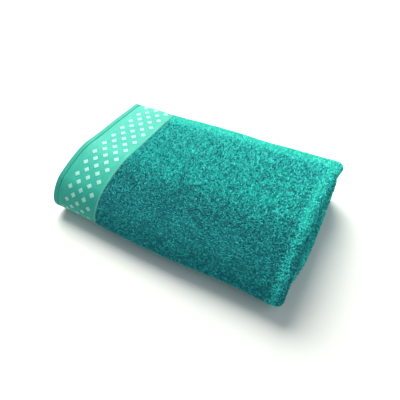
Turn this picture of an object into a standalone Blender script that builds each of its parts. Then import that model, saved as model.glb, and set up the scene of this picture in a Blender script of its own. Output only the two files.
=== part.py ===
"""A bath towel folded for the shelf.

The towel is one woven cloth. It is folded in half and in half again, which gives four plies a quarter as long, and
then in thirds across its width. So each third is a pack of four plies:

    quarter 1  the outermost ply, with a flat woven border and an end hem at its left end
    quarter 4  under it, with the other border and the other end hem
    quarter 3  under that
    quarter 2  the innermost ply

At the right end the outer fold joins quarters 1 and 2, and the inner fold joins quarters 3 and 4. At the
left end the centre fold joins quarters 2 and 3. The bottom third lies on the table, the middle third is
turned over onto it round the far bend, and the top third comes over both round the near bend, which is also
the hinge it unfolds about. The free edge of the top third curls down over the far bend. The soft near side
sags under its own weight.

Every node is a length of the cloth made flat, as a section in x and depth under the outer face that is
extruded across the towel, and then folded and sagged point by point. +X is along the folded towel, towards
its right end, and +Y is to the far side.
"""

import math

import bmesh
import bpy
from mathutils import Vector

# Driving sizes, in metres.
LENGTH = 0.350  # of the folded towel, a quarter of the cloth's length
WIDTH = 0.230  # over both bends
PLY = 0.0060  # a ply of looped cloth, pile on both sides
BORDER_PLY = 0.0015  # the flat woven border, which has no pile
HEM_PLY = 0.0026  # an end hem, turned twice
BORDER_SPAN = 0.082  # from the left end to where the pile starts
END_DROP = 0.0008  # how much lower a third is at its left end
END_HEM_WIDTH = 0.010
SIDE_HEM_WIDTH = 0.009
EDGE_CURL = 0.014  # how far the top third's free edge reaches past the flat, as it curls down
EDGE_INSET = 0.002  # how far it stops short of the far bend
CORNER_REACH = 0.007  # how much further right the top third's far corner lies
INNER_EDGE_INSET = 0.002  # from the near bend's axis to the middle third's edge
BORDER_SINK = 0.0012  # how far the border lies under the pile's face where they meet
THIRDS_GAP = 0.002  # between the inner faces of two thirds
SAG_START = -0.024  # the y from which the near side sags
SAG = 0.44  # the share of its height that the outermost line of the near bend loses
SAG_POWER = 1.5
SAG_SHIFT = 0.011  # how far that line moves inwards
LABEL_LENGTH = 0.035
LABEL_REACH = 0.040
LABEL_PLY = 0.00035
LABEL_X = 0.100
GAP = 0.0003  # between pieces that touch
BEND_STEPS = 12
FOLD_STEPS = 8
DROOP_STEPS = 5
CURL_STEPS = 8
SAG_STEPS = 4

# What follows from them.
PLIES = 4
THIRD = PLIES * PLY
STACK = 3 * THIRD
LEFT = -(LENGTH + CORNER_REACH) / 2
RIGHT = LEFT + LENGTH
PILE_START = LEFT + BORDER_SPAN
HEM_END = LEFT + END_HEM_WIDTH
CENTRE_FOLD_END = HEM_END + 2 * GAP
LOW_THIRD = THIRD - END_DROP
BEFORE_SAG_Y = -WIDTH / 2 - SAG_SHIFT
NEAR_Y = BEFORE_SAG_Y + STACK / 2
FAR_Y = WIDTH / 2 - THIRD
CURL_Y = WIDTH / 2 - EDGE_INSET - EDGE_CURL
INNER_FACE = THIRDS_GAP / 2  # how far the innermost ply stops short of its third's inner side
# The curl ends below the top third's flat inner side, as far as the far bend falls away under its innermost ply.
INNERMOST_REACH = CURL_Y - FAR_Y + EDGE_CURL * INNER_FACE / THIRD
CURL_DROP = THIRD - math.sqrt(THIRD**2 - INNERMOST_REACH**2) - GAP
# The cloth of the near bend lies flat again only if the top third turns about the bend's outermost line.
HINGE = Vector((0.0, -WIDTH / 2, STACK / 2))
HALF = GAP / 2

# Colours, roughness.
MATERIALS = {
    "terry": ((0.035, 0.400, 0.370, 1.0), 0.95),
    "border": ((0.060, 0.560, 0.460, 1.0), 0.75),
    "hem": ((0.050, 0.480, 0.410, 1.0), 0.80),
    "label": ((0.860, 0.860, 0.840, 1.0), 0.45),
}


def smooth(share):
    """0 up to share 0, 1 from share 1, and an S curve between."""
    share = max(0.0, min(1.0, share))
    return share * share * (3 - 2 * share)


def third_height(x):
    """The height of one third. It falls from the pile's start towards the left end."""
    rise = smooth((x - CENTRE_FOLD_END) / (PILE_START - CENTRE_FOLD_END))
    return LOW_THIRD + (THIRD - LOW_THIRD) * rise


def curl(x, depth, distance):
    """The top third near its free edge: a quarter turn of an ellipse, then flat. distance is from the edge."""
    third = third_height(x)
    high = third + CURL_DROP - depth
    wide = EDGE_CURL * high / (third + CURL_DROP)
    turned = math.pi / 2 * math.sqrt((high**2 + wide**2) / 2)
    if distance >= turned:
        return Vector((x, CURL_Y - (distance - turned), 3 * third - depth))
    angle = math.pi / 2 * (1 - distance / turned)
    return Vector((x, CURL_Y + wide * math.sin(angle), 3 * third - depth - high * (1 - math.cos(angle))))


def sagged(point):
    """The near side sags: heights shrink by a power of the distance from where it starts, and y moves inwards."""
    share = max(0.0, (SAG_START - point.y) / (SAG_START - BEFORE_SAG_Y))
    return Vector((point.x, point.y + SAG_SHIFT * share**2, point.z * (1 - SAG * share**SAG_POWER)))


def folded(x, depth, run, at):
    """Where a point of the flat cloth goes. depth is under the outer face, and at is y, a distance or an angle."""
    third = third_height(x)
    if run in ("top", "top_edge"):
        point = curl(x, depth, at) if run == "top_edge" else Vector((x, at, 3 * third - depth))
        point.x += CORNER_REACH * smooth(x / RIGHT) * min(1.0, (point.y - NEAR_Y) / (CURL_Y - NEAR_Y))
        return point
    if run == "near":
        radius = 1.5 * third - depth
        return Vector((x, NEAR_Y - radius * math.sin(at), 1.5 * third - radius * math.cos(at)))
    if run == "bottom":
        return Vector((x, at, depth))
    if run == "far":
        radius = third - depth
        return Vector((x, FAR_Y + radius * math.sin(at), third - radius * math.cos(at)))
    return Vector((x, at, 2 * third - depth))


def bend(run):
    """The stations of a half turn."""
    return [(run, math.pi * i / BEND_STEPS) for i in range(BEND_STEPS + 1)]


def flat(run):
    """The stations across the side that sags, from the near bend."""
    reach = SAG_START - NEAR_Y
    return [(run, NEAR_Y + reach * i / SAG_STEPS) for i in range(1, SAG_STEPS + 1)]


def edge(start, end):
    """The stations along the curl, between two distances from the free edge."""
    return [("top_edge", start + (end - start) * i / CURL_STEPS) for i in range(CURL_STEPS + 1)]


INNER_EDGE_Y = NEAR_Y + INNER_EDGE_INSET
PANEL_EDGE_Y = INNER_EDGE_Y + SIDE_HEM_WIDTH + GAP
CURL_LENGTH = math.pi / 2 * THIRD
# The path of each part of the towel across its width. The quarters stop at the side hems along the two free edges.
TOP = [("top", NEAR_Y + HALF)] + flat("top") + edge(CURL_LENGTH, SIDE_HEM_WIDTH + GAP)
BASE = [("bottom", NEAR_Y + HALF)] + flat("bottom") + bend("far") + flat("middle")[::-1]
PATHS = {
    "top": TOP,
    "top_whole": TOP + edge(SIDE_HEM_WIDTH, 0.0),
    "bend": bend("near"),
    "base": BASE + [("middle", PANEL_EDGE_Y)],
    "base_whole": BASE + [("middle", INNER_EDGE_Y)],
    "top_side_hem": edge(SIDE_HEM_WIDTH, 0.0),
    "base_side_hem": [("middle", PANEL_EDGE_Y - GAP), ("middle", INNER_EDGE_Y)],
}


def band(start, end, outer, inner):
    """The section of a ply from x start to x end, between two depths that are functions of x, as pairs of points."""
    reach = PILE_START - CENTRE_FOLD_END
    droop = [CENTRE_FOLD_END + reach * i / DROOP_STEPS for i in range(DROOP_STEPS + 1)]
    stops = [start] + [x for x in droop if start + GAP < x < end - GAP] + [end]
    return [((x, outer(x)), (x, inner(x))) for x in stops]


def arc(centre_x, centre_depth, radius, side=1):
    """A half circle, from its shallow end to its deep end. side is 1 to the right and -1 to the left."""
    turns = [math.pi * i / FOLD_STEPS for i in range(FOLD_STEPS + 1)]
    return [(centre_x + side * radius * math.sin(a), centre_depth - radius * math.cos(a)) for a in turns]


def half_round(points):
    """The section between the two halves of an arc, which meet at its tip."""
    return list(zip(points, points[::-1]))[: FOLD_STEPS // 2 + 1]


def border_top(x):
    """Depth of the visible border's outer face: it rises to the surface towards its hem."""
    return GAP + (BORDER_SINK - GAP) * (x - HEM_END) / (PILE_START - HEM_END)


def inner_border_top(x):
    """Depth of the second border's outer face, halfway between the first border and quarter 3."""
    first_under = border_top(x) + BORDER_PLY
    next_over = third_height(x) - 2 * PLY
    return (first_under + next_over - BORDER_PLY) / 2


def sections():
    """The section of each length of cloth, as pairs of points in x and depth under the outer face."""
    fold_radius = (THIRD - INNER_FACE) / 2
    fold_x = RIGHT - fold_radius
    pile_end = fold_x - GAP
    centre_radius = (2 * PLY - HALF - INNER_FACE) / 2
    centre_x = CENTRE_FOLD_END + centre_radius
    centre_depth = third_height(centre_x) - INNER_FACE - centre_radius
    return {
        "quarter_1": band(PILE_START + HALF, pile_end, lambda x: 0.0, lambda x: PLY - HALF),
        "border_1": band(HEM_END + HALF, PILE_START - HALF, border_top, lambda x: border_top(x) + BORDER_PLY),
        "end_hem_1": band(LEFT, HEM_END - HALF, lambda x: 0.0, lambda x: HEM_PLY),
        "quarter_4": band(PILE_START + HALF, pile_end, lambda x: PLY + HALF, lambda x: 2 * PLY - HALF),
        "border_4": band(
            HEM_END + HALF, PILE_START - HALF, inner_border_top, lambda x: inner_border_top(x) + BORDER_PLY
        ),
        "end_hem_4": band(LEFT + GAP, HEM_END - HALF, lambda x: HEM_PLY + GAP, lambda x: 2 * HEM_PLY + GAP),
        "quarter_3": band(
            centre_x + GAP,
            pile_end,
            lambda x: third_height(x) - 2 * PLY + HALF,
            lambda x: third_height(x) - PLY - HALF,
        ),
        "quarter_2": band(
            centre_x + GAP,
            pile_end,
            lambda x: third_height(x) - PLY + HALF,
            lambda x: third_height(x) - INNER_FACE,
        ),
        "outer_fold": list(
            zip(arc(fold_x, fold_radius, fold_radius), arc(fold_x, fold_radius, fold_radius - PLY + HALF))
        ),
        "inner_fold": half_round(arc(fold_x, fold_radius, fold_radius - PLY - GAP)),
        "centre_fold": half_round(arc(centre_x, centre_depth, centre_radius, -1)),
    }


def material(name):
    found = bpy.data.materials.get(name)
    if found:
        return found
    colour, roughness = MATERIALS[name]
    made = bpy.data.materials.new(name)
    made.use_nodes = True
    shader = made.node_tree.nodes["Principled BSDF"]
    shader.inputs["Base Color"].default_value = colour
    shader.inputs["Roughness"].default_value = roughness
    made.diffuse_color = colour
    return made


def cloth(name, section, path, finish, collection, hinge=None):
    """Makes the section flat, extrudes it once for each station of the path, and folds every point."""
    bm = bmesh.new()
    made = {}
    for point in [p for pair in section for p in pair]:
        if point not in made:
            made[point] = bm.verts.new((point[0], 0.0, point[1]))
    for (a, b), (c, d) in zip(section, section[1:]):
        bm.faces.new([made[p] for p in dict.fromkeys((a, b, d, c))])
    region = bm.faces[:] + bm.edges[:] + bm.verts[:]
    for _ in path[1:]:
        region = bmesh.ops.extrude_face_region(bm, geom=region)["geom"]
        moved = [part for part in region if isinstance(part, bmesh.types.BMVert)]
        bmesh.ops.translate(bm, verts=moved, vec=(0.0, 1.0, 0.0))
    for vert in bm.verts:
        run, at = path[round(vert.co.y)]
        vert.co = sagged(folded(vert.co.x, vert.co.z, run, at))
    bmesh.ops.recalc_face_normals(bm, faces=bm.faces[:])
    if bm.calc_volume(signed=True) < 0:
        bmesh.ops.reverse_faces(bm, faces=bm.faces[:])
    if hinge:
        bmesh.ops.translate(bm, verts=bm.verts[:], vec=-HINGE)
    mesh = bpy.data.meshes.new(name)
    bm.to_mesh(mesh)
    bm.free()
    mesh.materials.append(material(finish))
    mesh.shade_smooth()
    mesh.set_sharp_from_angle(angle=math.radians(35))
    made = bpy.data.objects.new(name, mesh)
    made.parent = hinge
    collection.objects.link(made)
    return made


def care_label(collection, hinge):
    """A blank woven label on the inner face of the top third. It starts under the middle of the side hem."""
    top = 2 * THIRD + INNER_FACE - GAP
    bpy.ops.mesh.primitive_cube_add(size=1.0)
    label = bpy.context.object
    label.name = "care_label"
    label.data.name = "care_label"
    size = Vector((LABEL_LENGTH, LABEL_REACH, LABEL_PLY))
    centre = Vector((LABEL_X, CURL_Y - (SIDE_HEM_WIDTH + LABEL_REACH) / 2, top - LABEL_PLY / 2))
    for vert in label.data.vertices:
        vert.co = Vector(a * b for a, b in zip(vert.co, size)) + centre - HINGE
    label.data.materials.append(material("label"))
    label.parent = hinge
    for owner in label.users_collection:
        owner.objects.unlink(label)
    collection.objects.link(label)


def build():
    for old in list(bpy.data.objects):
        bpy.data.objects.remove(old)
    towel = bpy.data.collections.new("bath_towel")
    bpy.context.scene.collection.children.link(towel)
    hinge = bpy.data.objects.new("top_third_hinge", None)
    hinge.location = HINGE
    towel.objects.link(hinge)
    for name, section in sections().items():
        finish = next((word for word in ("border", "hem") if word in name), "terry")
        whole = "" if "quarter" in name else "_whole"
        cloth(f"top_{name}", section, PATHS["top" + whole], finish, towel, hinge)
        cloth(f"bend_{name}", section, PATHS["bend"], finish, towel)
        cloth(f"base_{name}", section, PATHS["base" + whole], finish, towel)
    for number in (1, 2, 3, 4):
        section = sections()[f"quarter_{number}"]
        cloth(f"top_side_hem_{number}", section, PATHS["top_side_hem"], "hem", towel, hinge)
        cloth(f"base_side_hem_{number}", section, PATHS["base_side_hem"], "hem", towel)
    care_label(towel, hinge)


build()
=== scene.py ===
"""The looks of a folded terry bath towel: looped pile, a flat woven border with diamonds, hems and a label.

The towel is one cloth, and every piece here is laid out on that cloth and then folded by the same function.
A point of the cloth has a distance u along a route through one pack of plies, a share v across one part of
the towel, and a height over the ply's middle. The parts are the top third, the bend that it unfolds about,
and the base, which is the bottom third, the far bend and the middle third.
"""

import math

import bpy
import numpy as np
from mathutils import Matrix, Vector


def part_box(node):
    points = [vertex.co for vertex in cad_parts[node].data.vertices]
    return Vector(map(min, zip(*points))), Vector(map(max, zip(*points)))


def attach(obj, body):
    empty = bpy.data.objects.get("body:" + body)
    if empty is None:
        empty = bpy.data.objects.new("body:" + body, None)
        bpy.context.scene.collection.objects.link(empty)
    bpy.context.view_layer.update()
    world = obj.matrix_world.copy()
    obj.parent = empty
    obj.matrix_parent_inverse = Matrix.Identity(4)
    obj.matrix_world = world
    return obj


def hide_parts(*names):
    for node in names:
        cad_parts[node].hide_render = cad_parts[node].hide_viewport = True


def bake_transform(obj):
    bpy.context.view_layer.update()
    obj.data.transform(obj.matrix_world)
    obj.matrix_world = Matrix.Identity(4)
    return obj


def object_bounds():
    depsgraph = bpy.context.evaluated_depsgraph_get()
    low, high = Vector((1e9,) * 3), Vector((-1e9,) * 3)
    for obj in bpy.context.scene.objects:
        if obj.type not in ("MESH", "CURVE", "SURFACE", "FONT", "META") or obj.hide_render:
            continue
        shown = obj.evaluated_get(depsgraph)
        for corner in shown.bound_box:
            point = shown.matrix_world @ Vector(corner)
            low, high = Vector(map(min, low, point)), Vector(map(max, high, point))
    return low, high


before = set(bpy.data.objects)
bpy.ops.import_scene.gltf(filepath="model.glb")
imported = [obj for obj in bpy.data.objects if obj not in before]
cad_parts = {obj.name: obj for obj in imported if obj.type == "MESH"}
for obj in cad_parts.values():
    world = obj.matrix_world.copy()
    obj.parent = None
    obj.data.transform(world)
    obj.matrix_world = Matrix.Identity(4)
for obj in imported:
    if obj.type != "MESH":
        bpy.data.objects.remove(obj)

CAD_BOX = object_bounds()

# ---- Sizes from the frame, in metres ----
STACK = CAD_BOX[1].z
THIRD = STACK / 3
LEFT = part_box("base_end_hem_1")[0].x
HEM_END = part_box("base_end_hem_1")[1].x
PILE_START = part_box("base_quarter_1")[0].x
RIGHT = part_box("base_outer_fold")[1].x
LOW_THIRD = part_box("top_end_hem_1")[1].z / 3  # the height of one third at the left end
FAR_Y = CAD_BOX[1].y - THIRD  # the middle of the far bend
EDGE_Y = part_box("top_side_hem_1")[1].y  # the top third's free edge

# ---- How far the right end's layers reach ----
CORNER_REACH = CAD_BOX[1].x - RIGHT + 0.002  # the top third's far corner, with its pile
CORNER_POWER = 4  # how quickly that reach comes in along the right end
LOWER_REACH = 0.0080  # the two lower thirds, away from the near bend
LOWER_RISE = 0.07  # the distance from the near bend over which that comes in

# ---- How the near side sags ----
SAG_START = -0.024  # the y from which it sags
SAG = 0.44  # the share of its height that the outermost line of the near bend loses
SAG_POWER = 1.5
SAG_SHIFT = 0.011  # how far that line moves inwards
BEFORE_SAG_Y = CAD_BOX[0].y - SAG_SHIFT
NEAR_Y = BEFORE_SAG_Y + STACK / 2  # the middle of the near bend
MIDDLE_EDGE_Y = NEAR_Y + 0.002  # where the middle third ends, inside the near bend

# ---- How the cloth waves ----
SLOW_WAVES = ((0.5, 19, 7, 1.0), (0.35, 31, -23, 2.1), (0.3, 11, 47, 0.0))  # size, by x, by y and phase
DIMPLES = 0.45  # the size of a finer wave across them
WAVE_LIFT = 0.016  # the share of its height by which a wave of 1 lifts a point
LEFT_LIFT = 0.045  # the share by which the left end stands higher
FAR_WAVER = 0.0012
NEAR_WAVER = 0.0010
NEAR_PRESSED = 0.0050  # how far the near side's right end is pressed in
LEFT_BULGE = 0.0015  # how far its left end stands out

# ---- Sizes of the cloth ----
THIRDS_GAP = 0.0012  # between the inner faces of two thirds
PLY = (THIRD - THIRDS_GAP) / 4
PLIES_GAP = 0.0003  # between two plies of terry
EDGE_ROUND = 0.002  # the radius of a plain edge
EDGE_CURL = 0.014
CURL_Y = EDGE_Y - EDGE_CURL
CURL_GAP = 0.0003  # between the curl's end and the far bend
LEAST_RADIUS = 0.0003  # of the curl's innermost line
FOLD_X = RIGHT - 2 * PLY  # the middle of the outer and the inner fold
CENTRE_X = HEM_END + 0.006  # the middle of the centre fold
OVERLAP = 0.0005  # how far the border and the end hem each run past their join
PILE_OVERLAP = 0.0015  # how far the border runs under the pile

# ---- The loops ----
PILE_HEIGHT = 0.0021  # of a loop over the ground weave
FINE_PITCH = 0.0021  # between loops on the faces that show most
FINE_YARN = 0.00068
COARSE_PITCH = 0.0031
COARSE_YARN = 0.00085
LOOP_BENDS = 4
LOOP_SIDES = 3
JITTER = 0.42  # how far a loop is from its place on the grid, in pitches
SUNK = 0.0004  # how deep a loop's ends lie in the ground weave
TUFT = 0.0002  # how far the ground weave's tufts rise and fall

# ---- How light a loop's yarn is: 0 is dark, 0.9 is light, and past that it turns to mint. Painted highlights and painted shade are added to it ----
LEAST_TONE = 0.09
CHANCE_TONE = 0.8
# how much the painted highlights on the folds and the free edge lighten the yarn
HIGHLIGHT_TONE = 0.6
# how much the painted shade on the near side darkens the yarn
SHADE_TONE = 0.36
FOLD_WIDTH = 0.0045  # of the painted highlight along a fold
RIM_AT = 0.035  # the painted highlight along the free edge ends this far from it
RIM_WIDTH = 0.010  # and fades over this distance
# the painted highlight along the free edge, as a share of a fold's
EDGE_HIGHLIGHT_TONE = 1.2

# ---- The border, in distances along the cloth from its left edge ----
BORDER_PLY = 0.0015
HEM_STEP = 0.0003  # how far the border lies under the towel's top at the hem
PILE_STEP = 0.0011  # how much further it lies under it at the pile
CORD_AT = PILE_START - LEFT
CORD_BEFORE = 0.0003  # from the cord's middle to the pile
CORD_HALF = 0.0011
CORD_HEIGHT = 0.0012
CORD_FADE = (0.0014, 0.0006)  # where its lighter stripe starts and is full, before the pile
DIAMOND_ROWS = 5
FIRST_ROW = 0.0272
ROW_STEP = 0.0104
DIAMOND_PITCH = 0.0220
DIAMOND_START = 0.0115  # from the free edge to a diamond of the first row
DIAMOND_HALF = 0.0047
DIAMOND_RELIEF = 0.00030
RIB_RELIEF = 0.00010
RIB_PITCH = 0.0036

# ---- Hems and stitches ----
HEM_PLY = 0.0024
HEM_STITCHES = 0.0022  # from the end hem's inner edge to its stitches
PUCKER = 0.00012  # how far the end hem puckers
PUCKER_PITCH = 0.0045
SIDE_HEM_WIDTH = 0.009
SIDE_HEM_PLY = 0.0034
SIDE_STITCHES = 0.002  # from the side hem's inner edge to its stitches
STITCH = 0.0030
STITCH_COVER = 0.86  # the share of its step that a stitch covers
STITCH_BENDS = 6
STITCH_SIDES = 6
THREAD_RADIUS = 0.00028
END_STITCH_BED = 0.72  # the share of the hem's half thickness at which its stitches lie
SIDE_STITCH_BED = 0.68
LABEL_DROP = 0.0006  # how far the label lies clear of the loops

# ---- Colours, linear ----
YARN_DARK = (0.004, 0.160, 0.220, 1)
YARN_LIGHT = (0.050, 0.780, 0.720, 1)
# mint, which the painted highlights reach, as do a few light specks by chance
YARN_MINT = (0.100, 0.840, 0.620, 1)
# painted shade: the ground weave's dark colour between the loops and the tufts
SHADED_GROUND = (0.004, 0.140, 0.170, 1)
BORDER_COLOUR = (0.024, 0.560, 0.400, 1)
BORDER_DARK = (0.006, 0.270, 0.250, 1)
CELL_COLOUR = (0.006, 0.250, 0.240, 1)
DIAMOND_COLOUR = (0.340, 0.740, 0.640, 1)
HEM_COLOUR = (0.022, 0.480, 0.350, 1)
THREAD_COLOUR = (0.055, 0.560, 0.470, 1)
LABEL_COLOUR = (0.800, 0.810, 0.780, 1)
FLOOR_COLOUR = (0.86, 0.86, 0.86, 1)
YARN_SHEEN = (0.25, 1.0, 0.80, 1)
GROUND_SHEEN = (0.35, 1.0, 0.85, 1)
WEAVE_SHEEN = (0.6, 1.0, 0.9, 1)

rng = np.random.default_rng(7)


def smooth(share):
    """0 up to share 0, 1 from share 1, and three shares squared less two cubed between."""
    share = np.clip(share, 0.0, 1.0)
    return share * share * (3 - 2 * share)


def bell(distance, width):
    """1 at no distance, and e to the power of minus the square of distance over width elsewhere."""
    return np.exp(-((distance / width) ** 2))


def third_height(x):
    """The height of one third, which falls along an S curve from the pile's start to the end hem."""
    return LOW_THIRD + (THIRD - LOW_THIRD) * smooth((x - HEM_END) / (PILE_START - HEM_END))


# ---- Folding ----
# The curl ends below the top third's flat inner side, as far as the far bend falls away under it.
CURL_DROP = THIRD - math.sqrt(THIRD**2 - (CURL_Y - FAR_Y + 2 * CURL_GAP) ** 2) - CURL_GAP
FLAT_TOP = CURL_Y - NEAR_Y
TOP_LENGTH = FLAT_TOP + math.pi / 2 * math.sqrt((THIRD**2 + EDGE_CURL**2) / 2)
BEND_LENGTH = math.pi * STACK / 2
BASE_RUNS = (FAR_Y - NEAR_Y, math.pi * THIRD, FAR_Y - MIDDLE_EDGE_Y)
BASE_LENGTH = sum(BASE_RUNS)
LENGTHS = {"top": TOP_LENGTH, "bend": BEND_LENGTH, "base": BASE_LENGTH}
STARTS = {"top": 0.0, "bend": TOP_LENGTH, "base": TOP_LENGTH + BEND_LENGTH}


def fold_top(x, depth, v):
    """From the free edge: a quarter of an ellipse that curls down, then straight to the near bend."""
    third = third_height(x)
    high = np.maximum(third + CURL_DROP - depth, LEAST_RADIUS)
    wide = EDGE_CURL * high / (third + CURL_DROP)
    turned = math.pi / 2 * np.sqrt((high**2 + wide**2) / 2)
    run = v * (turned + FLAT_TOP)
    angle = math.pi / 2 * (1 - np.clip(run / turned, 0.0, 1.0))
    y = CURL_Y + wide * np.sin(angle) - np.maximum(run - turned, 0.0)
    z = 3 * third - depth - high * (1 - np.cos(angle))
    from_near = np.clip((y - NEAR_Y) / FLAT_TOP, 0.0, 1.0)
    return x + CORNER_REACH * smooth(x / RIGHT) * from_near**CORNER_POWER, y, z


def fold_bend(x, depth, v):
    """A half circle of one and a half thirds, from the top to the bottom."""
    third = third_height(x)
    angle = math.pi * (1 - v)
    radius = 1.5 * third - depth
    return x + 0 * v, NEAR_Y - radius * np.sin(angle), 1.5 * third - radius * np.cos(angle)


def fold_base(x, depth, v):
    """Straight along the bottom, a half circle of one third, and straight back along the middle."""
    third = third_height(x)
    run = v * BASE_LENGTH
    bottom, far, _ = BASE_RUNS
    angle = math.pi * np.clip((run - bottom) / far, 0.0, 1.0)
    radius = third - depth
    y = NEAR_Y + np.minimum(run, bottom) + radius * np.sin(angle) - np.maximum(run - bottom - far, 0.0)
    reach = LOWER_REACH * smooth(x / RIGHT) * smooth((y - NEAR_Y) / LOWER_RISE)
    return x + reach, y, third - radius * np.cos(angle)


FOLDS = {"top": fold_top, "bend": fold_bend, "base": fold_base}


def sag_share(y):
    """How far into the sagging side a point lies, as a share of the way to the near bend's outermost line."""
    return np.maximum(0.0, (SAG_START - y) / (SAG_START - BEFORE_SAG_Y))


def sagged(x, y, z):
    """The near side sags: heights shrink by a power of that share, and y moves inwards with its square."""
    share = sag_share(y)
    return x, y + SAG_SHIFT * share**2, z * (1 - SAG * share**SAG_POWER)


def soften(x, y, z):
    """Slow waves that leave the underside flat: a height grows by a few hundredths of itself with a sum of
    sines of x and y, and the far and the near side waver with sines of x and z. The left end stands a little
    higher, and the near side's right end is pressed in a little."""
    wave = sum(size * np.sin(by_x * x + by_y * y + phase) for size, by_x, by_y, phase in SLOW_WAVES)
    wave = wave + DIMPLES * np.sin(62 * x + 30 * y + 0.8) * np.sin(55 * y - 18 * x + 0.4)
    left = smooth((PILE_START + 0.03 - x) / 0.08)
    far = smooth((y - 0.02) / 0.10)
    near = smooth((SAG_START - y) / 0.09)
    far_waver = far * FAR_WAVER * np.sin(33 * x + 0.6 + 25 * z)
    near_waver = near * NEAR_WAVER * np.sin(27 * x + 2.0 + 30 * z)
    pressed = near * (NEAR_PRESSED * smooth((x - 0.02) / 0.12) - LEFT_BULGE * left)
    return x, y + far_waver - near_waver + pressed, z * (1 + WAVE_LIFT * wave + LEFT_LIFT * left)


def folded(part, x, depth, v):
    """Points of the folded, sagged and softened towel, as an array with x, y and z last. depth is the
    distance under the outer face of the part's pack of plies."""
    return np.stack(soften(*sagged(*FOLDS[part](x, depth, v))), axis=-1)


# ---- Routes through a pack of plies ----
def route(points):
    """A route: its distances, its points (x and depth), and its normals, which point out of the cloth."""
    points = np.array(points)
    steps = np.linalg.norm(np.diff(points, axis=0), axis=1)
    tangent = np.gradient(points, axis=0)
    tangent /= np.linalg.norm(tangent, axis=1, keepdims=True)
    normals = np.stack([tangent[:, 1], -tangent[:, 0]], axis=1)
    return np.concatenate([[0.0], np.cumsum(steps)]), points, normals


def straight(start, end, depth, step=0.001):
    """Points from one x towards another without the last, at the depth that a function of x gives."""
    x = np.linspace(start, end, max(2, round(abs(end - start) / step)))
    return np.stack([x, depth(x) + 0 * x], axis=1)[:-1]


def turn(centre, radius, side, first=1, steps=24):
    """A half circle in x and depth without its last point. side is 1 to the right, and first is 1 where it
    starts at the shallow end."""
    angle = np.linspace(0.0, math.pi, steps)
    x = centre[0] + side * radius * np.sin(angle)
    depth = centre[1] - first * radius * np.cos(angle)
    return np.stack([x, depth], axis=1)[:-1]


def under(plies):
    """The depth, by x, of a line that many plies out from the pack's inner face."""
    return lambda x: third_height(x) - THIRDS_GAP / 2 - plies * PLY


def pile_route():
    """Quarter 1, the outer fold, quarter 2, the centre fold, quarter 3, the inner fold and quarter 4."""
    centre = (CENTRE_X, float(under(1)(np.array(CENTRE_X))))
    return route(
        np.concatenate(
            [
                straight(PILE_START, FOLD_X, lambda x: PLY / 2),
                turn((FOLD_X, 2 * PLY), 1.5 * PLY, 1),
                straight(FOLD_X, CENTRE_X, under(0.5)),
                turn(centre, PLY / 2, -1, first=-1),
                straight(CENTRE_X, FOLD_X, under(1.5)),
                turn((FOLD_X, 2 * PLY), PLY / 2, 1, first=-1),
                straight(FOLD_X, PILE_START + 0.001, lambda x: 1.5 * PLY),
            ]
        )
    )


PILE_ROUTE = pile_route()
LEG = FOLD_X - PILE_START
NOSE = math.pi * 1.5 * PLY
PILE_LENGTH = PILE_ROUTE[0][-1]
INNER_LEG_END = LEG + NOSE + FOLD_X - CENTRE_X


def border_depth(x):
    """The first border's middle: it lies under the pile's face where they meet and rises to its hem."""
    return HEM_STEP + PILE_STEP * (x - HEM_END) / (PILE_START - HEM_END) + BORDER_PLY / 2


def inner_border_depth(x):
    """The second border's middle, halfway between the first border and quarter 3."""
    return (border_depth(x) + BORDER_PLY / 2 + third_height(x) - THIRDS_GAP / 2 - 2 * PLY) / 2


BORDER_ROUTE = route(straight(HEM_END - OVERLAP, PILE_START + PILE_OVERLAP, border_depth))
INNER_BORDER_ROUTE = route(straight(HEM_END - OVERLAP, PILE_START + PILE_OVERLAP, inner_border_depth))
HEM_ROUTE = route(straight(LEFT, HEM_END + OVERLAP, lambda x: HEM_PLY / 2))
INNER_HEM_ROUTE = route(straight(LEFT + HEM_PLY / 2, HEM_END + OVERLAP, lambda x: 1.6 * HEM_PLY))


def placed(part, way, u, v, height):
    """Folds points given by distance along a route, share across a part and height over the ply's middle."""
    distance, points, normals = way
    x, depth, nx, nd = (np.interp(u, distance, a) for a in (*points.T, *normals.T))
    return folded(part, x + height * nx, depth + height * nd, v)


# ---- Meshes ----
def mesh_object(name, points, faces, uv=None, tone=None):
    """An object from arrays of points, of faces with the same number of corners, and of uv and tone by point.
    An edge is sharp where its faces turn by more than 55 degrees."""
    count, corners = faces.shape
    mesh = bpy.data.meshes.new(name)
    mesh.vertices.add(len(points))
    mesh.vertices.foreach_set("co", points.astype(np.float32).ravel())
    mesh.loops.add(count * corners)
    mesh.loops.foreach_set("vertex_index", faces.astype(np.int32).ravel())
    mesh.polygons.add(count)
    mesh.polygons.foreach_set("loop_start", np.arange(0, count * corners, corners, dtype=np.int32))
    mesh.update(calc_edges=True)
    if uv is not None:
        layer = mesh.uv_layers.new(name="UVMap")
        layer.data.foreach_set("uv", uv[faces.ravel()].astype(np.float32).ravel())
    if tone is not None:
        mesh.attributes.new("tone", "FLOAT", "POINT").data.foreach_set("value", tone.astype(np.float32))
    mesh.shade_smooth()
    mesh.set_sharp_from_angle(angle=math.radians(55))
    made = bpy.data.objects.new(name, mesh)
    bpy.context.scene.collection.objects.link(made)
    return made


def cloth_faces(rows, columns):
    """The quads of a closed cloth: its outer side is a grid of points stored row by row, its inner side is
    such a grid stored after it, and a rim joins their edges."""
    index = np.arange(rows * columns).reshape(rows, columns)
    outer = np.stack([index[:-1, :-1], index[1:, :-1], index[1:, 1:], index[:-1, 1:]], axis=2).reshape(-1, 4)
    inner = outer[:, ::-1] + index.size
    edge = np.concatenate([index[0, :-1], index[:-1, -1], index[-1, :0:-1], index[:0:-1, 0]])
    after = np.roll(edge, -1)
    rim = np.stack([edge + index.size, after + index.size, after, edge], axis=1)
    return np.concatenate([outer, inner, rim])


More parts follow.
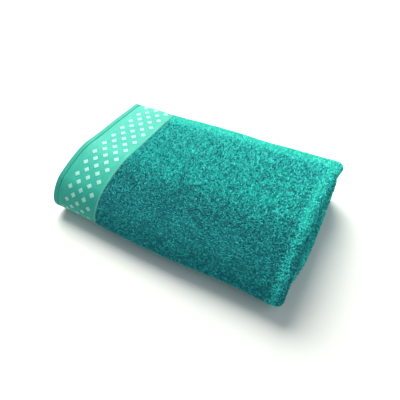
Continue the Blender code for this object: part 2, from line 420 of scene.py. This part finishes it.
def tube_quads(bends, sides):
    """The quads of a tube that is stored ring by ring. Each joins one side of a ring to the next ring's."""
    side = np.arange(sides)
    after = (side + 1) % sides
    ring = np.arange(bends - 1)[:, None] * sides
    corners = [ring + side, ring + sides + side, ring + sides + after, ring + after]
    return np.stack(corners, axis=2).reshape(-1, 4)


def repeated(faces, count, points):
    """The faces of many copies of one shape, which are stored one after another with that many points each."""
    return (np.arange(count)[:, None, None] * points + faces).reshape(-1, 4)


def ease_off(distance, radius):
    """How much of its thickness a cloth has near an edge: a quarter circle of the given radius."""
    return np.sqrt(np.clip(1 - (1 - np.clip(distance / radius, 0.0, 1.0)) ** 2, 0.02, 1.0))


def sheet_piece(name, part, way, u, v, thickness, outer, edge_radius=EDGE_ROUND):
    """A closed cloth: a grid of u by v on each side of the route. The inner side lies at half the
    thickness, and the height of the outer one is a function of the two grids. Both draw in by a quarter
    circle at the two ends and the free edge."""
    length = LENGTHS[part]
    uu, vv = np.meshgrid(u, v, indexing="ij")
    from_free_edge = {"top": vv * length, "base": (1 - vv) * length, "bend": np.full_like(vv, 1.0)}[part]
    eased = ease_off(np.minimum(uu - u[0], u[-1] - uu), edge_radius) * ease_off(from_free_edge, edge_radius)
    heights = (outer(uu, vv) * eased, -thickness / 2 * eased)
    points = np.concatenate([placed(part, way, uu, vv, height).reshape(-1, 3) for height in heights])
    flat = np.stack([uu.ravel(), STARTS[part] + vv.ravel() * length], axis=1)
    return mesh_object(name, points, cloth_faces(*uu.shape), uv=np.concatenate([flat, flat]))


# ---- Loops of yarn ----
def scattered(part, u_range, v_range, pitch):
    """Distances along and across a part of places on a grid of that pitch, each moved a little by chance."""
    length = LENGTHS[part]
    u_size = u_range[1] - u_range[0]
    v_size = v_range[1] - v_range[0]
    rows = max(2, round(u_size / pitch))
    columns = max(2, round(v_size * length / pitch))
    uu, vv = np.meshgrid((np.arange(rows) + 0.5) / rows, (np.arange(columns) + 0.5) / columns, indexing="ij")
    u = u_range[0] + u_size * uu.ravel() + pitch * rng.uniform(-JITTER, JITTER, uu.size)
    v = (v_range[0] + v_size * vv.ravel()) * length + pitch * rng.uniform(-JITTER, JITTER, uu.size)
    return u, v


def yarn_arches(count, pitch, yarn):
    """The points of each loop about its own place, as distances along, across and over the ground weave.
    Its middle line is half an ellipse, turned by chance and leaning by a sine of its angle, and the yarn is
    a ring of three points round that line at each bend. The last axis but one goes round the ring."""
    turned = rng.normal(0.0, 0.9, (count, 1))
    tall = PILE_HEIGHT * rng.uniform(0.72, 1.18, (count, 1))
    wide = pitch * rng.uniform(0.42, 0.70, (count, 1))
    lean = pitch * rng.normal(0.0, 0.30, (2, count, 1))
    swell = yarn * rng.uniform(0.85, 1.25, (count, 1, 1, 1))
    angle = np.linspace(0.0, math.pi, LOOP_BENDS)[None, :]
    out, up = np.cos(angle), np.sin(angle)
    cos, sin = np.cos(turned), np.sin(turned)
    along = out * wide * cos + lean[0] * up
    across = out * wide * sin + lean[1] * up
    centre = np.stack([along, across, up * tall - SUNK], axis=2)
    tangent = np.stack([-up * wide * cos, -up * wide * sin, out * tall], axis=2)
    tangent /= np.linalg.norm(tangent, axis=2, keepdims=True)
    side = np.stack(np.broadcast_arrays(-sin, cos, 0 * angle), axis=2)
    normal = np.cross(tangent, side)
    ring = (np.arange(LOOP_SIDES) * math.tau / LOOP_SIDES + math.pi / 4)[:, None]
    offset = normal[:, :, None] * np.cos(ring) + side[:, :, None] * np.sin(ring)
    return centre[:, :, None] + offset * swell


def loop_tones(part, u, v):
    """How light each loop's yarn is. It goes by chance, with painted light added: a painted highlight on the
    folds and along the top's free edge, painted shade over the top's near side and down past the middle of the
    near bend, and a little painted light on that bend's lowest part."""
    length = LENGTHS[part]
    # painted highlight along the outer and the inner fold
    painted_highlight = bell(u - LEG, FOLD_WIDTH) + bell(u - LEG - NOSE, FOLD_WIDTH)
    # painted shade on the near side, none unless the part sets it
    painted_shade = 0.0
    if part == "top":
        # painted highlight along the top's free edge
        painted_highlight = np.maximum(painted_highlight, EDGE_HIGHLIGHT_TONE * bell(np.maximum(v - RIM_AT, 0.0), RIM_WIDTH))
        # painted shade that grows over the top's last 75 mm towards the near bend
        painted_shade = smooth((v - length + 0.075) / 0.055)
    if part == "bend":
        # painted shade down past the middle of the near bend, turning to a little painted light on its lowest
        # part
        painted_shade = 1 - 1.3 * smooth((v / length - 0.50) / 0.22)
    chance = rng.beta(1.0, 0.8, u.size)
    return LEAST_TONE + CHANCE_TONE * chance + HIGHLIGHT_TONE * painted_highlight - SHADE_TONE * painted_shade


def loops_piece(name, part, u_range, v_range, pitch=FINE_PITCH, yarn=FINE_YARN):
    """Loops of yarn, worked out on the flat cloth and then folded. Their open ends lie in the ground weave."""
    u, v = scattered(part, u_range, v_range, pitch)
    arches = yarn_arches(u.size, pitch, yarn)
    share = (v[:, None, None] + arches[..., 1]) / LENGTHS[part]
    if part != "bend":
        share = np.clip(share, 0.0, 1.0)
    height = PLY / 2 - PILE_HEIGHT + arches[..., 2]
    points = placed(part, PILE_ROUTE, u[:, None, None] + arches[..., 0], share, height).reshape(-1, 3)
    block = LOOP_BENDS * LOOP_SIDES
    quads = tube_quads(LOOP_BENDS, LOOP_SIDES)[:, [0, 3, 2, 1]]
    tone = np.repeat(loop_tones(part, u, v), block)
    return mesh_object(name, points, repeated(quads, u.size, block), tone=tone)


# ---- Material building ----
def new_material(name, roughness, sheen=0.0, sheen_tint=(1, 1, 1, 1)):
    """A cloth's material with its node tree and its shader."""
    material = bpy.data.materials.new(name)
    material.use_nodes = True
    shader = material.node_tree.nodes["Principled BSDF"]
    shader.inputs["Roughness"].default_value = roughness
    shader.inputs["Specular IOR Level"].default_value = 0.25
    shader.inputs["Sheen Weight"].default_value = sheen
    shader.inputs["Sheen Roughness"].default_value = 0.45
    shader.inputs["Sheen Tint"].default_value = sheen_tint
    return material, material.node_tree, shader


def node(tree, kind, values=None, **settings):
    """A shader node with its settings and its input values. A value that is a socket is linked instead."""
    made = tree.nodes.new(kind)
    for key, value in settings.items():
        setattr(made, key, value)
    for key, value in (values or {}).items():
        if isinstance(value, bpy.types.NodeSocket):
            tree.links.new(value, made.inputs[key])
        else:
            made.inputs[key].default_value = value
    return made


def maths(tree, operation, first, second=0.0, third=0.0):
    """The result of one operation on up to three values."""
    return node(tree, "ShaderNodeMath", {0: first, 1: second, 2: third}, operation=operation).outputs[0]


def sine_of(tree, distance, period):
    """The sine of a distance that makes one turn in each period."""
    return maths(tree, "SINE", maths(tree, "MULTIPLY", maths(tree, "DIVIDE", distance, period), math.tau))


def ramp(tree, value, start, end, shape="SMOOTHSTEP"):
    """0 where the value is at the start, 1 where it is at the end, and between them in between."""
    return node(tree, "ShaderNodeMapRange", {0: value, 1: start, 2: end}, interpolation_type=shape).outputs[0]


def noise(tree, place, scale, detail=2.0):
    """Noise of that scale, from 0 to 1."""
    return node(tree, "ShaderNodeTexNoise", {"Vector": place, "Scale": scale, "Detail": detail}).outputs[0]


def blend_colours(tree, share, first, second):
    """The first colour where the share is 0 and the second where it is 1."""
    return node(tree, "ShaderNodeMix", {0: share, 6: first, 7: second}, data_type="RGBA").outputs[2]


def bump(tree, shader, height, distance):
    """Raises the surface by the given distance where the height is 1."""
    made = node(tree, "ShaderNodeBump", {"Height": height, "Distance": distance})
    tree.links.new(made.outputs[0], shader.inputs["Normal"])


def cloth_uv(tree):
    """The distances along and across the cloth, in metres."""
    return node(tree, "ShaderNodeUVMap", uv_map="UVMap").outputs[0]


def object_place(tree):
    """The place in the object's own metres."""
    return node(tree, "ShaderNodeTexCoord").outputs["Object"]


def group(name, inputs, outputs):
    """An empty shader node group. inputs map socket names to a type and a default, and outputs to a type."""
    tree = bpy.data.node_groups.new(name, "ShaderNodeTree")
    for label, (kind, default) in inputs.items():
        socket = tree.interface.new_socket(label, in_out="INPUT", socket_type=kind)
        if default is not None:
            socket.default_value = default
    for label, kind in outputs.items():
        tree.interface.new_socket(label, in_out="OUTPUT", socket_type=kind)
    return tree, tree.nodes.new("NodeGroupInput").outputs, tree.nodes.new("NodeGroupOutput").inputs


def placed_group(tree, what, values):
    """The outputs of a node group that is placed in a material with its own values."""
    return node(tree, "ShaderNodeGroup", values, node_tree=what).outputs


def weave_group():
    """Fine ribs along the cloth's width, crossed by a finer thread: six tenths of one sine of the cloth's own
    distances and four tenths of another. The shade is painted shade, 0.12 of that height, so the hollows
    between ribs are darker, plus noise that is drawn out along the ribs."""
    inputs = {
        "Cloth": ("NodeSocketVector", None),
        "Rib": ("NodeSocketFloat", 0.0012),
        "Thread": ("NodeSocketFloat", 0.0009),
    }
    tree, given, out = group("fine_weave", inputs, {"Height": "NodeSocketFloat", "Shade": "NodeSocketFloat"})
    parts = node(tree, "ShaderNodeSeparateXYZ", {0: given["Cloth"]}).outputs
    ribs = maths(tree, "MULTIPLY", sine_of(tree, parts[0], given["Rib"]), 0.6)
    threads = maths(tree, "MULTIPLY", sine_of(tree, parts[1], given["Thread"]), 0.4)
    height = maths(tree, "ADD", ribs, threads)
    drawn_out = {0: given["Cloth"], 1: (3.0, 0.3, 1.0)}
    streaked = node(tree, "ShaderNodeVectorMath", drawn_out, operation="MULTIPLY").outputs[0]
    tree.links.new(height, out["Height"])
    tree.links.new(maths(tree, "MULTIPLY_ADD", height, 0.12, noise(tree, streaked, 160.0, 4.0)), out["Shade"])
    return tree


def diamonds_group():
    """Staggered rows of diamonds. The distances to the nearest row and to the nearest place in it, as
    shares of half a diamond, have a sum under 1 inside a diamond. Mask is 1 there, and Cell fades over a
    wider one."""
    tree, given, out = group(
        "diamond_rows",
        {"Cloth": ("NodeSocketVector", None)},
        {"Mask": "NodeSocketFloat", "Cell": "NodeSocketFloat"},
    )
    parts = node(tree, "ShaderNodeSeparateXYZ", {0: given["Cloth"]}).outputs
    rows = maths(tree, "DIVIDE", maths(tree, "SUBTRACT", parts[0], FIRST_ROW), ROW_STEP)
    row = maths(tree, "MINIMUM", maths(tree, "MAXIMUM", maths(tree, "ROUND", rows), 0.0), DIAMOND_ROWS - 1.0)
    across = maths(tree, "ABSOLUTE", maths(tree, "SUBTRACT", rows, row))
    stagger = maths(tree, "MULTIPLY", maths(tree, "MODULO", row, 2.0), 0.5)
    from_first = maths(tree, "SUBTRACT", parts[1], DIAMOND_START)
    places = maths(tree, "ADD", maths(tree, "DIVIDE", from_first, DIAMOND_PITCH), stagger)
    along = maths(tree, "ABSOLUTE", maths(tree, "SUBTRACT", places, maths(tree, "ROUND", places)))
    across_share = maths(tree, "MULTIPLY", across, ROW_STEP / DIAMOND_HALF)
    along_share = maths(tree, "MULTIPLY", along, DIAMOND_PITCH / DIAMOND_HALF)
    total = maths(tree, "ADD", across_share, along_share)
    tree.links.new(ramp(tree, total, 1.06, 0.94), out["Mask"])
    tree.links.new(ramp(tree, total, 1.55, 1.25), out["Cell"])
    return tree


WEAVE = weave_group()
DIAMONDS = diamonds_group()


# ---- Materials ----
def yarn_material():
    """Heathered yarn: each loop's tone and fine noise give a share from the dark to the light thread, and a
    share over 0.9 turns it towards mint. The tone holds the painted highlights and painted shade of
    loop_tones."""
    material, tree, shader = new_material("heather_yarn", 0.92, 0.5, YARN_SHEEN)
    tone = node(tree, "ShaderNodeAttribute", attribute_name="tone").outputs["Fac"]
    fine = noise(tree, object_place(tree), 950.0)
    specks = maths(tree, "MULTIPLY", maths(tree, "SUBTRACT", fine, 0.5), 2.0)
    share = maths(tree, "ADD", tone, specks)
    plain = blend_colours(tree, ramp(tree, share, 0.0, 0.9), YARN_DARK, YARN_LIGHT)
    colour = blend_colours(tree, ramp(tree, share, 0.9, 1.9), plain, YARN_MINT)
    tree.links.new(colour, shader.inputs["Base Color"])
    bump(tree, shader, fine, 0.0003)
    return material


def ground_material():
    """The ground weave between the loops, with tufts where no loops are drawn. Its dark colour is painted
    shade between the loops, and each tuft fades from the light yarn at its middle to that painted shade at its
    edge.
    """
    material, tree, shader = new_material("terry_ground", 0.95, 0.15, GROUND_SHEEN)
    place = cloth_uv(tree)
    tufts = node(tree, "ShaderNodeTexVoronoi", {"Vector": place, "Scale": 420.0}, feature="F1")
    # darker away from each tuft's middle, as painted shade between the tufts
    share = maths(tree, "SUBTRACT", 1.0, maths(tree, "MULTIPLY", tufts.outputs["Distance"], 1.1))
    share = maths(tree, "MULTIPLY", share, maths(tree, "ADD", noise(tree, place, 700.0), 0.25))
    tree.links.new(blend_colours(tree, share, SHADED_GROUND, YARN_LIGHT), shader.inputs["Base Color"])
    bump(tree, shader, share, 0.0010)
    return material


def border_material():
    """The flat weave: fine ribs, pale diamonds in darker cells, and a lighter stripe along the raised cord."""
    material, tree, shader = new_material("border_weave", 0.62, 0.25, WEAVE_SHEEN)
    place = cloth_uv(tree)
    weave = placed_group(tree, WEAVE, {"Cloth": place})
    diamonds = placed_group(tree, DIAMONDS, {"Cloth": place})
    # darker between the ribs, as painted shade from the weave's height, and streaked by noise
    plain = blend_colours(tree, weave["Shade"], BORDER_DARK, BORDER_COLOUR)
    celled = blend_colours(tree, maths(tree, "MULTIPLY", diamonds["Cell"], 0.45), plain, CELL_COLOUR)
    pale = blend_colours(tree, diamonds["Mask"], celled, DIAMOND_COLOUR)
    along = node(tree, "ShaderNodeSeparateXYZ", {0: place}).outputs[0]
    cord = ramp(tree, along, CORD_AT - CORD_FADE[0], CORD_AT - CORD_FADE[1], "LINEAR")
    colour = blend_colours(tree, maths(tree, "MULTIPLY", cord, 0.55), pale, DIAMOND_COLOUR)
    tree.links.new(colour, shader.inputs["Base Color"])
    bump(tree, shader, weave["Height"], 0.00012)
    return material


def hem_material():
    """The hems' plain weave, a little darker than the border."""
    material, tree, shader = new_material("hem_weave", 0.70, 0.25, WEAVE_SHEEN)
    weave = placed_group(tree, WEAVE, {"Cloth": cloth_uv(tree), "Rib": 0.0010, "Thread": 0.0010})
    # darker between the ribs, as painted shade from the weave's height, and streaked by noise
    tree.links.new(blend_colours(tree, weave["Shade"], BORDER_DARK, HEM_COLOUR), shader.inputs["Base Color"])
    bump(tree, shader, weave["Height"], 0.00015)
    return material


def thread_material():
    """Sewing thread, with a wave of light and dark for its twist."""
    material, tree, shader = new_material("sewing_thread", 0.45, 0.2)
    twisted = {"Vector": object_place(tree), "Scale": 900.0, "Distortion": 2.0}
    twist = node(tree, "ShaderNodeTexWave", twisted).outputs[1]
    tree.links.new(blend_colours(tree, twist, HEM_COLOUR, THREAD_COLOUR), shader.inputs["Base Color"])
    return material


def label_material():
    """A white satin tape with fine weft lines, and nothing printed on it."""
    material, tree, shader = new_material("label_tape", 0.38)
    woven = {"Vector": object_place(tree), "Scale": 620.0, "Distortion": 0.6}
    lines = node(tree, "ShaderNodeTexWave", woven, bands_direction="Y").outputs[1]
    shade = maths(tree, "MULTIPLY_ADD", lines, 0.16, 0.84)
    dull = tuple(0.6 * c for c in LABEL_COLOUR[:3]) + (1,)
    tree.links.new(blend_colours(tree, shade, dull, LABEL_COLOUR), shader.inputs["Base Color"])
    bump(tree, shader, lines, 0.00008)
    return material


def floor_material():
    """A pale floor of one colour."""
    material, _, shader = new_material("pale_floor", 0.9)
    shader.inputs["Base Color"].default_value = FLOOR_COLOUR
    return material


YARN = yarn_material()
TERRY = ground_material()
BORDER = border_material()
HEM = hem_material()
THREAD = thread_material()
LABEL = label_material()
PALE_FLOOR = floor_material()


# ---- Pieces ----
def finish_piece(piece, material, part, nodes=()):
    """Gives a piece its finish and, outside the bend, the body it moves with, and hides the nodes that it
    stands for.
    """
    piece.data.materials.append(material)
    if part == "bend":
        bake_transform(piece)
    else:
        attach(piece, "top_flap" if part == "top" else "stack")
    if nodes:
        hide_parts(*nodes)
    return piece


def spaced(start, end, step):
    """Distances from the start to the end, as near as can be to a step apart."""
    return np.linspace(start, end, max(2, round(abs(end - start) / step) + 1))


def stepped(ends, steps):
    """Distances from the first of the ends to the last, with a step of its own from each to the next."""
    runs = [spaced(start, end, step)[:-1] for start, end, step in zip(ends, ends[1:], steps)]
    return np.concatenate([*runs, ends[-1:]])


def shares(part, step, hem=True):
    """The shares across a part, closer together round its bends, from the side hem to the other end."""
    length = LENGTHS[part]
    free = SIDE_HEM_WIDTH if hem else 0.0
    if part == "top":
        return stepped((free, 2 * EDGE_CURL, length), (step / 2, step)) / length
    if part == "bend":
        return spaced(0.0, 1.0, step * 0.6 / length)
    bottom, far, _ = BASE_RUNS
    return stepped((0.0, bottom, bottom + far, length - free), (step, step * 0.6, step)) / length


def terry_cloth(part):
    """The ground of the pile's whole route. Where loops are drawn on it, its outer side lies lower."""
    centre_end = INNER_LEG_END + math.pi * PLY / 2
    inner_fold = centre_end + FOLD_X - CENTRE_X
    inner_end = inner_fold + math.pi * PLY / 2
    ends = (0.0, LEG, LEG + NOSE, INNER_LEG_END, centre_end, inner_fold, inner_end, PILE_LENGTH)
    u = stepped(ends, (0.004, 0.0012, 0.004, 0.0010, 0.005, 0.0010, 0.005))

    def outer(uu, vv):
        looped = 1 - smooth((uu - INNER_LEG_END) / 0.004)
        tufts = TUFT * np.sin(1900 * uu + 3 * np.sin(900 * vv * LENGTHS[part]))
        return PLY / 2 - TUFT + tufts - (PILE_HEIGHT - TUFT) * looped

    cloth = sheet_piece(f"{part}_terry", part, PILE_ROUTE, u, shares(part, 0.004), PLY - PLIES_GAP, outer)
    names = ("quarter_1", "quarter_2", "quarter_3", "quarter_4", "outer_fold", "inner_fold", "centre_fold")
    return finish_piece(cloth, TERRY, part, [f"{part}_{name}" for name in names])


def pile(part):
    """The loops on the faces of one part that show, at rest or with the top third open."""
    hem = (SIDE_HEM_WIDTH - 0.001) / LENGTHS[part]
    first = 0.001
    shoulder = LEG + NOSE * 0.8
    coarse = {"pitch": COARSE_PITCH, "yarn": COARSE_YARN}
    if part == "top":
        half = (1 + hem) / 2
        return [
            loops_piece("top_pile_far", part, (first, shoulder), (hem, half)),
            loops_piece("top_pile_near", part, (first, shoulder), (half, 1.0)),
            loops_piece("top_pile_under", part, (shoulder, INNER_LEG_END), (hem, 1.0), **coarse),
        ]
    if part == "bend":
        return [
            loops_piece("bend_pile", part, (first, shoulder), (0.0, 1.0)),
            loops_piece("bend_pile_under", part, (shoulder, INNER_LEG_END), (0.0, 1.0), **coarse),
        ]
    bottom, far, _ = np.array(BASE_RUNS) / LENGTHS[part]
    return [
        loops_piece("bottom_pile", part, (first, LEG + NOSE), (0.0, bottom), **coarse),
        loops_piece("far_bend_pile", part, (first, LEG + NOSE), (bottom, bottom + far)),
        loops_piece("middle_pile", part, (first, LEG + NOSE), (bottom + far, 1 - hem), **coarse),
    ]


def diamond_relief(u, across):
    """1 inside a diamond and 0 outside, with the same sum of two distances as the colour's."""
    row = np.clip(np.round((u - FIRST_ROW) / ROW_STEP), 0, DIAMOND_ROWS - 1)
    places = (across - DIAMOND_START) / DIAMOND_PITCH + 0.5 * (row % 2)
    total = np.abs(u - FIRST_ROW - row * ROW_STEP) + np.abs(places - np.round(places)) * DIAMOND_PITCH
    return smooth((1.12 * DIAMOND_HALF - total) / (0.3 * DIAMOND_HALF))


def border_cloth(part, visible):
    """The flat woven border: raised diamonds and, along the pile, a cord with a half circle's outline. The
    inner one is left plain."""
    way = BORDER_ROUTE if visible else INNER_BORDER_ROUTE
    step = 0.0011 if visible else 0.005

    def outer(uu, vv):
        if not visible:
            return BORDER_PLY / 2 + 0 * uu
        from_left = uu + HEM_END - OVERLAP - LEFT
        cord = np.sqrt(np.clip(1 - ((from_left - CORD_AT + CORD_BEFORE) / CORD_HALF) ** 2, 0, 1))
        relief = DIAMOND_RELIEF * diamond_relief(from_left, STARTS[part] + vv * LENGTHS[part])
        ribs = RIB_RELIEF * np.sin(from_left / RIB_PITCH * math.tau)
        return BORDER_PLY / 2 + relief + ribs + CORD_HEIGHT * cord

    name = f"{part}_border_{'outer' if visible else 'inner'}"
    u = spaced(0.0, way[0][-1], step)
    cloth = sheet_piece(name, part, way, u, shares(part, step * 1.4, hem=False), BORDER_PLY, outer, 0.0006)
    shift_uv(cloth, HEM_END - OVERLAP - LEFT)
    return finish_piece(cloth, BORDER, part, [f"{part}_border_{1 if visible else 4}"])


def shift_uv(piece, distance):
    """Moves a piece's distances along the cloth, so that they are counted from the towel's left edge."""
    layer = piece.data.uv_layers["UVMap"].data
    values = np.empty(len(layer) * 2, np.float32)
    layer.foreach_get("uv", values)
    values[0::2] += distance
    layer.foreach_set("uv", values)


def end_hem(part, visible):
    """The end's turned hem: full and round at the edge, pressed in along its stitches and puckered by a
    sine."""
    way = HEM_ROUTE if visible else INNER_HEM_ROUTE
    width = way[0][-1]

    def outer(uu, vv):
        full = HEM_PLY / 2 * (1 - 0.20 * bell(uu - width + HEM_STITCHES, 0.0007))
        return full + PUCKER * np.sin(vv * LENGTHS[part] / PUCKER_PITCH * math.tau)

    v = shares(part, 0.0022, hem=False)
    name = f"{part}_end_hem_{'outer' if visible else 'inner'}"
    hem = sheet_piece(name, part, way, spaced(0.0, width, 0.0006), v, HEM_PLY, outer, HEM_PLY / 2)
    return finish_piece(hem, HEM, part, [f"{part}_end_hem_{1 if visible else 4}"])


def side_hem(part):
    """The side's turned hem along all four quarters: flatter than the pile, and pressed in along its
    stitches."""
    length = LENGTHS[part]
    span = spaced(0.0, SIDE_HEM_WIDTH - 0.0003, 0.0009) / length
    v = span if part == "top" else 1 - span[::-1]
    u = stepped((0.0, LEG, LEG + NOSE, PILE_LENGTH), (0.003, 0.0012, 0.0018))

    def outer(uu, vv):
        from_edge = (vv if part == "top" else 1 - vv) * length
        return SIDE_HEM_PLY / 2 * (1 - 0.35 * bell(from_edge - SIDE_HEM_WIDTH + SIDE_STITCHES, 0.0008))

    hem = sheet_piece(f"{part}_side_hem", part, PILE_ROUTE, u, v, SIDE_HEM_PLY, outer, SIDE_HEM_PLY / 2)
    return finish_piece(hem, HEM, part, [f"{part}_side_hem_{number}" for number in (1, 2, 3, 4)])


def stitches_piece(name, part, way, u, v, height, along_u):
    """A row of lockstitches: each is a low arch of thread, from one hole to the next, whose height is a sine.
    along_u is 1 for a row that runs along the route and 0 for one that runs across it."""
    along = np.linspace(0.0, 1.0, STITCH_BENDS)[:, None]
    ring = np.arange(STITCH_SIDES) * math.tau / STITCH_SIDES
    out = (along - 0.5) * STITCH * STITCH_COVER
    aside = THREAD_RADIUS * np.cos(ring)
    up = height + np.sin(along * math.pi) * THREAD_RADIUS * 1.3 - THREAD_RADIUS * 0.8
    rise = up + THREAD_RADIUS * np.sin(ring)
    u_all = u[:, None, None] + out * along_u + (1 - along_u) * aside
    across = out * (1 - along_u) + along_u * aside
    share = np.clip(v[:, None, None] + across / LENGTHS[part], 0.0, 1.0)
    points = placed(part, way, u_all, share, rise).reshape(-1, 3)
    block = STITCH_BENDS * STITCH_SIDES
    caps = np.array([[0, 1, 2, 3], [0, 3, 4, 5]])
    last_cap = block - STITCH_SIDES + caps[:, ::-1]
    one = np.concatenate([tube_quads(STITCH_BENDS, STITCH_SIDES), caps, last_cap])
    if not along_u:
        one = one[:, ::-1]
    return mesh_object(name, points, repeated(one, u.size, block))


def end_hem_stitches(part):
    """The stitches along the outer end hem."""
    length = LENGTHS[part]
    v = np.arange(STITCH / 2, length - 0.001, STITCH) / length
    u = np.full_like(v, HEM_ROUTE[0][-1] - HEM_STITCHES)
    name = f"{part}_end_hem_stitches"
    made = stitches_piece(name, part, HEM_ROUTE, u, v, HEM_PLY / 2 * END_STITCH_BED, 0)
    return finish_piece(made, THREAD, part)


def side_hem_stitches(part):
    """The stitches along the side hem of quarter 1."""
    u = np.arange(0.002, LEG - 0.001, STITCH)
    from_edge = (SIDE_HEM_WIDTH - SIDE_STITCHES) / LENGTHS[part]
    v = np.full_like(u, from_edge if part == "top" else 1 - from_edge)
    name = f"{part}_side_hem_stitches"
    made = stitches_piece(name, part, PILE_ROUTE, u, v, SIDE_HEM_PLY / 2 * SIDE_STITCH_BED, 1)
    return finish_piece(made, THREAD, part)


def care_label():
    """A tape that hangs from the hem on the top third's inner face, over the loops: flat above, and below
    bowed by a sine that fades towards the hem."""
    low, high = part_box("care_label")
    x, y = np.meshgrid(spaced(low.x, high.x, 0.0015), spaced(low.y, high.y, 0.0015), indexing="ij")
    across = (y - low.y) / (high.y - low.y)
    bow = 0.0004 * np.sin(math.pi * (x - low.x) / (high.x - low.x)) * (1 - across)
    levels = (high.z - LABEL_DROP + 0 * x, low.z - LABEL_DROP - bow)
    sides = [np.stack(soften(*sagged(x, y, level)), axis=-1).reshape(-1, 3) for level in levels]
    label = mesh_object("label_tape", np.concatenate(sides), cloth_faces(*x.shape))
    return finish_piece(label, LABEL, "top", ["care_label"])


def cut_width(part):
    """The width of cloth in one part: the length of the folded line along the middle of its outermost ply."""
    points = 400
    line = folded(part, np.zeros(points), PLY / 2, np.linspace(0.0, 1.0, points))
    return float(np.linalg.norm(np.diff(line, axis=0), axis=1).sum())


def build_part(part):
    """All the pieces of one part. Its cloth's flat width is worked out, but nothing uses it."""
    length = cut_width(part)
    cloth = terry_cloth(part)
    trim = [finish_piece(piece, YARN, part) for piece in pile(part)]
    if part != "bend":
        trim += [side_hem(part), side_hem_stitches(part)]
    for visible in (True, False):
        border = border_cloth(part, visible)
        trim = [end_hem(part, visible)] + ([end_hem_stitches(part)] if visible else [])


for each_part in ("base", "bend", "top"):
    build_part(each_part)
care_label()


# ---- Studio ----
def camera():
    """A camera that looks down at the towel from beyond its near right corner, rolled a little. Its axes
    come from the direction back to it, a level line to the right, and a turn of both about that direction."""
    azimuth = math.radians(32.05)
    elevation = math.radians(47.15)
    roll = math.radians(-3.08)
    distance = 0.4767
    target = Vector(((LEFT + RIGHT) / 2, 0.0, 0.0))
    level = math.cos(elevation)
    back = Vector((math.sin(azimuth) * level, -math.cos(azimuth) * level, math.sin(elevation)))
    right = (-back).cross(Vector((0, 0, 1))).normalized()
    up = right.cross(-back)
    turned_right = math.cos(roll) * right + math.sin(roll) * up
    turned_up = -math.sin(roll) * right + math.cos(roll) * up
    data = bpy.data.cameras.new("camera")
    data.lens = 27.48
    data.shift_x = 0.0153
    data.shift_y = 0.0037
    made = bpy.data.objects.new("camera", data)
    bpy.context.scene.collection.objects.link(made)
    rotation = Matrix((turned_right, turned_up, back)).transposed().to_4x4()
    made.matrix_world = Matrix.Translation(target + back * distance) @ rotation
    bpy.context.scene.camera = made


def area_light(name, place, size, power, colour=(1, 1, 1)):
    """A round light that faces the towel."""
    data = bpy.data.lights.new(name, "AREA")
    data.shape = "DISK"
    data.size = size
    data.energy = power
    data.color = colour
    made = bpy.data.objects.new(name, data)
    bpy.context.scene.collection.objects.link(made)
    made.location = place
    made.rotation_euler = (-Vector(place)).to_track_quat("-Z", "Y").to_euler()


def studio():
    """A pale floor, one soft key light from the far left, a weak fill from the right, and a pale sky."""
    bpy.ops.mesh.primitive_plane_add(size=6.0, location=(0, 0, -0.0004))
    floor = bpy.context.object
    floor.name = "floor"
    floor.data.materials.append(PALE_FLOOR)
    area_light("key", (-0.85, 1.05, 1.15), 1.8, 86, (1.0, 1.0, 0.9))
    area_light("fill", (1.4, 0.3, 1.1), 1.4, 4)
    world = bpy.data.worlds.new("sky")
    world.use_nodes = True
    sky = world.node_tree.nodes["Background"].inputs
    sky["Color"].default_value = (0.86, 0.96, 1, 1)
    sky["Strength"].default_value = 0.34
    bpy.context.scene.world = world
    bpy.context.scene.view_settings.view_transform = "Standard"


camera()
studio()
